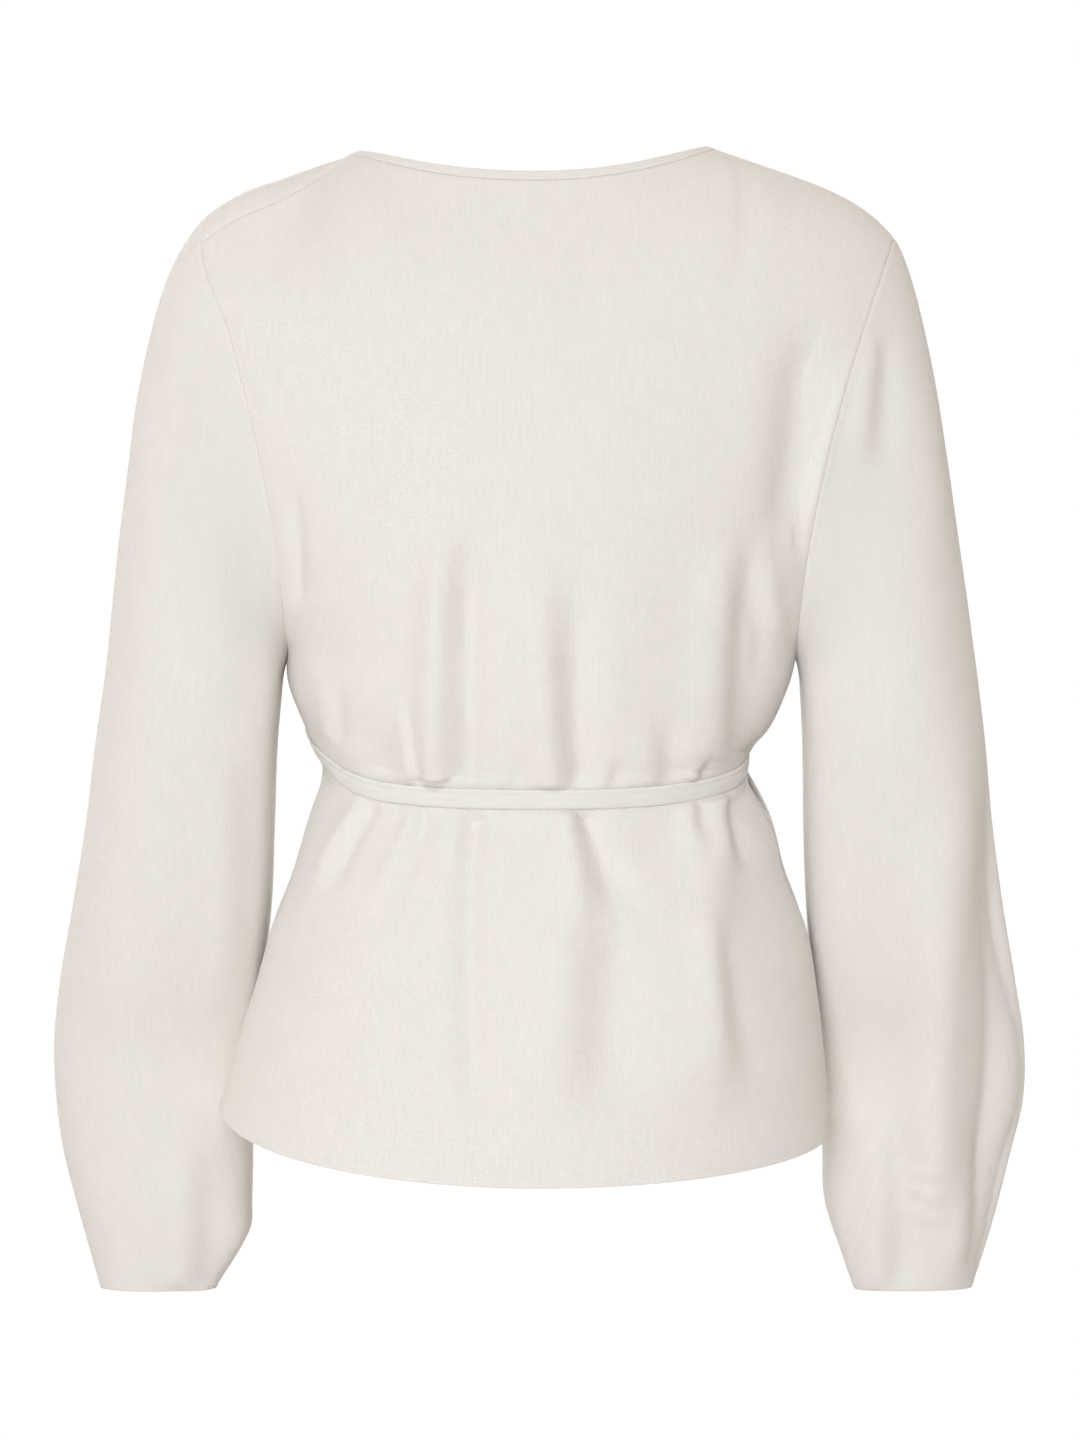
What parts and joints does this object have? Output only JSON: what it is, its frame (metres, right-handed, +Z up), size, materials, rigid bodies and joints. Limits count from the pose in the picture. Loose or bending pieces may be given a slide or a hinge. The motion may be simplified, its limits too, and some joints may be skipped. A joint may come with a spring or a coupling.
{
  "type": "wrap cardigan",
  "caption": "Fine-knit wrap cardigan with balloon sleeves and a flared lower part, tied round the waist; an open, hollow garment in its worn form.",
  "frame": {"origin": "midway between the two neck points of the shoulders, where the wearer carries the garment", "axes": "+X to the wearer's left, +Y to the wearer's back, +Z up"},
  "size_m": [0.5709, 0.2393, 0.6676],
  "materials": {
    "knit": "matte fine knit",
    "band": "matte fine knit",
    "tie": "matte fine knit"
  },
  "bodies": {
    "root": {"back": "knit", "front_left": "knit", "front_right": "knit", "sleeve_left": "knit", "sleeve_right": "knit", "neck_band": "band", "tie_back": "tie", "tie_front": "tie", "tie_knot": "tie", "tie_end_long": "tie", "tie_end_short": "tie"}
  },
  "joints": []
}
